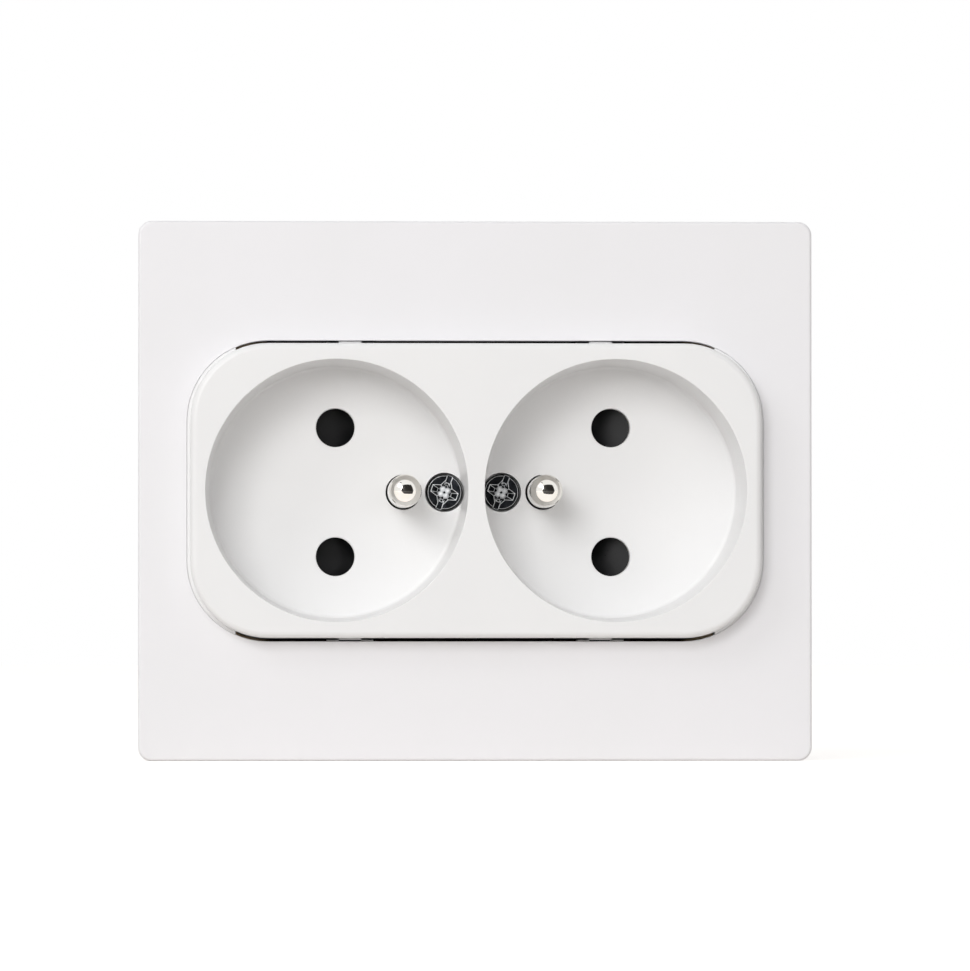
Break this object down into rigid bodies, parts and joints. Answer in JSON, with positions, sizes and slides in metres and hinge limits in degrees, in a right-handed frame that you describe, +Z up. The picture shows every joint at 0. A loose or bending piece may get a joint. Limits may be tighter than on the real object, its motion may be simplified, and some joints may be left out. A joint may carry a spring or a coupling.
{
  "type": "surface-mounted double socket",
  "caption": "White surface-mounted double socket: oblong cover with round wells, shuttered contact holes and earth pins, on a square-edged box.",
  "frame": {"origin": "centre of the back face, in the plane of the wall", "axes": "+Z up the wall, -Y out of the wall towards the user, +X to the user's right"},
  "size_m": [0.0984, 0.047, 0.0788],
  "materials": {
    "box_white": "satin moulded",
    "plate_white": "semi-gloss",
    "cover_white": "semi-gloss",
    "strap_steel": "yellow passivated",
    "carrier_moulding": "dark thermoset",
    "brass_contact": "stamped",
    "nickel_pin": "bright nickel",
    "dark_screw": "blackened",
    "zinc_screw": "zinc plated",
    "terminal_screw": "nickel plated",
    "shutter_black": "smooth",
    "spring_steel": "bright wire"
  },
  "bodies": {
    "fixed_socket": {"surface_box": "box_white", "front_plate": "plate_white", "mounting_strap": "strap_steel", "socket_cover": "cover_white", "contact_carrier": "carrier_moulding", "carrier_back": "carrier_moulding", "line_bar": "brass_contact", "neutral_bar": "brass_contact", "earth_bar": "brass_contact", "lower_left_strap_screw": "zinc_screw", "upper_left_strap_screw": "zinc_screw", "lower_right_strap_screw": "zinc_screw", "upper_right_strap_screw": "zinc_screw", "line_terminal": "brass_contact", "line_terminal_screw": "terminal_screw", "neutral_terminal": "brass_contact", "neutral_terminal_screw": "terminal_screw", "earth_terminal": "brass_contact", "earth_terminal_screw": "terminal_screw", "left_earth_pin": "nickel_pin", "right_earth_pin": "nickel_pin", "left_cover_screw": "dark_screw", "right_cover_screw": "dark_screw", "left_back_screw": "zinc_screw", "right_back_screw": "zinc_screw", "left_shutter_spring": "spring_steel", "right_shutter_spring": "spring_steel"},
    "left_slider": {"left_shutter": "shutter_black"},
    "right_slider": {"right_shutter": "shutter_black"}
  },
  "joints": [
    {"name": "left_shutter_slide", "type": "slide", "parent": "fixed_socket", "child": "left_slider", "axis": [-1, 0, 0], "range_m": [0, 0.0058], "stiffness_N_per_m": 150, "springref_m": -0.003, "deforming": ["left_shutter_spring"]},
    {"name": "right_shutter_slide", "type": "slide", "parent": "fixed_socket", "child": "right_slider", "axis": [1, 0, 0], "range_m": [0, 0.0058], "stiffness_N_per_m": 150, "springref_m": -0.003, "deforming": ["right_shutter_spring"]}
  ]
}
